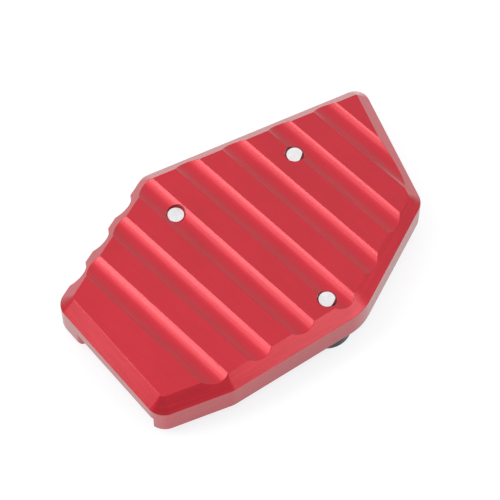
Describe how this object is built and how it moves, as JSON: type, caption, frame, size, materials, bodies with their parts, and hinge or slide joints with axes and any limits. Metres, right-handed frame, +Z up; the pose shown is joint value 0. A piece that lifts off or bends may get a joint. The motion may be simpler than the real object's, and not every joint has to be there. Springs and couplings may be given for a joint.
{
  "type": "kickstand foot enlarger",
  "caption": "Red anodised aluminium kickstand foot enlarger with a ribbed ground sole, scalloped edge, foot channel, and a black clamp plate held by countersunk screws.",
  "frame": {"origin": "under the middle of the base plate's outline, on the clamp plate's lower face, which the part lies on", "axes": "+X from the channel's mouth towards the far tip, +Y across the plate towards the scalloped side, +Z up out of the ribbed sole"},
  "size_m": [0.117, 0.0762, 0.017],
  "materials": {
    "red_anodised": "machined, red anodised, satin",
    "black_anodised": "machined, black anodised, matt",
    "screw_steel": "bright stainless"
  },
  "bodies": {
    "root": {"base_plate": "red_anodised", "clamp_plate": "black_anodised", "clamp_screw_far": "screw_steel", "clamp_screw_tip": "screw_steel", "clamp_screw_near": "screw_steel"}
  },
  "joints": []
}
